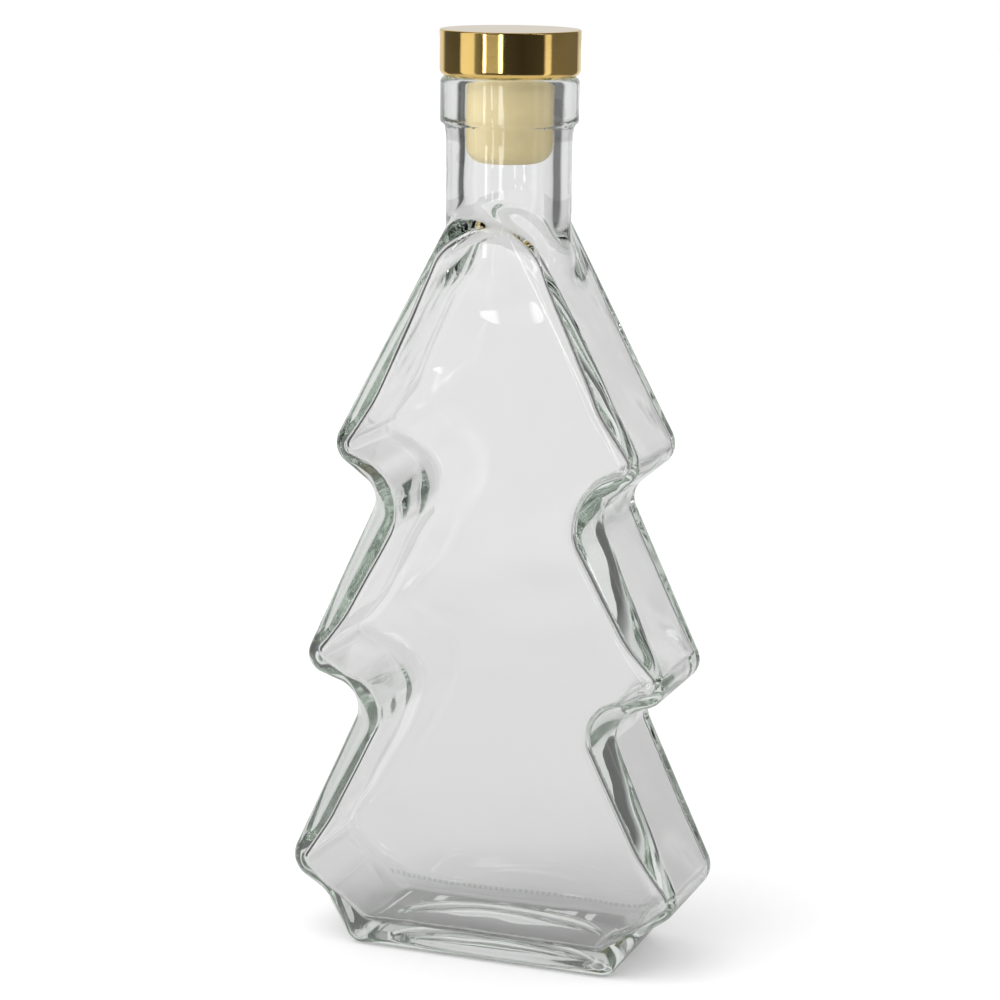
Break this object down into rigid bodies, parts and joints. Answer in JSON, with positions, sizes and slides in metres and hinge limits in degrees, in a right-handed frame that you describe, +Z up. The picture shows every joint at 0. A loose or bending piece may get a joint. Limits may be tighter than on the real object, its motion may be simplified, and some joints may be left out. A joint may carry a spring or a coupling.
{
  "type": "tree-shaped glass bottle with stopper",
  "caption": "Clear glass bottle in the shape of a three-tier fir tree, with a round neck closed by a gold-capped stopper.",
  "frame": {"origin": "centre of the base, on the surface that the bottle stands on", "axes": "+Z up along the neck, +X across the tree's branches, the broad front panel faces -Y"},
  "size_m": [0.0866, 0.0316, 0.1959],
  "materials": {
    "glass": "clear, polished, faint green tint",
    "plug": "satin cream plastic",
    "cap": "mirror-polished gold-coloured metal"
  },
  "bodies": {
    "root": {"bottle": "glass", "stopper_plug": "plug", "stopper_cap": "cap"}
  },
  "joints": []
}
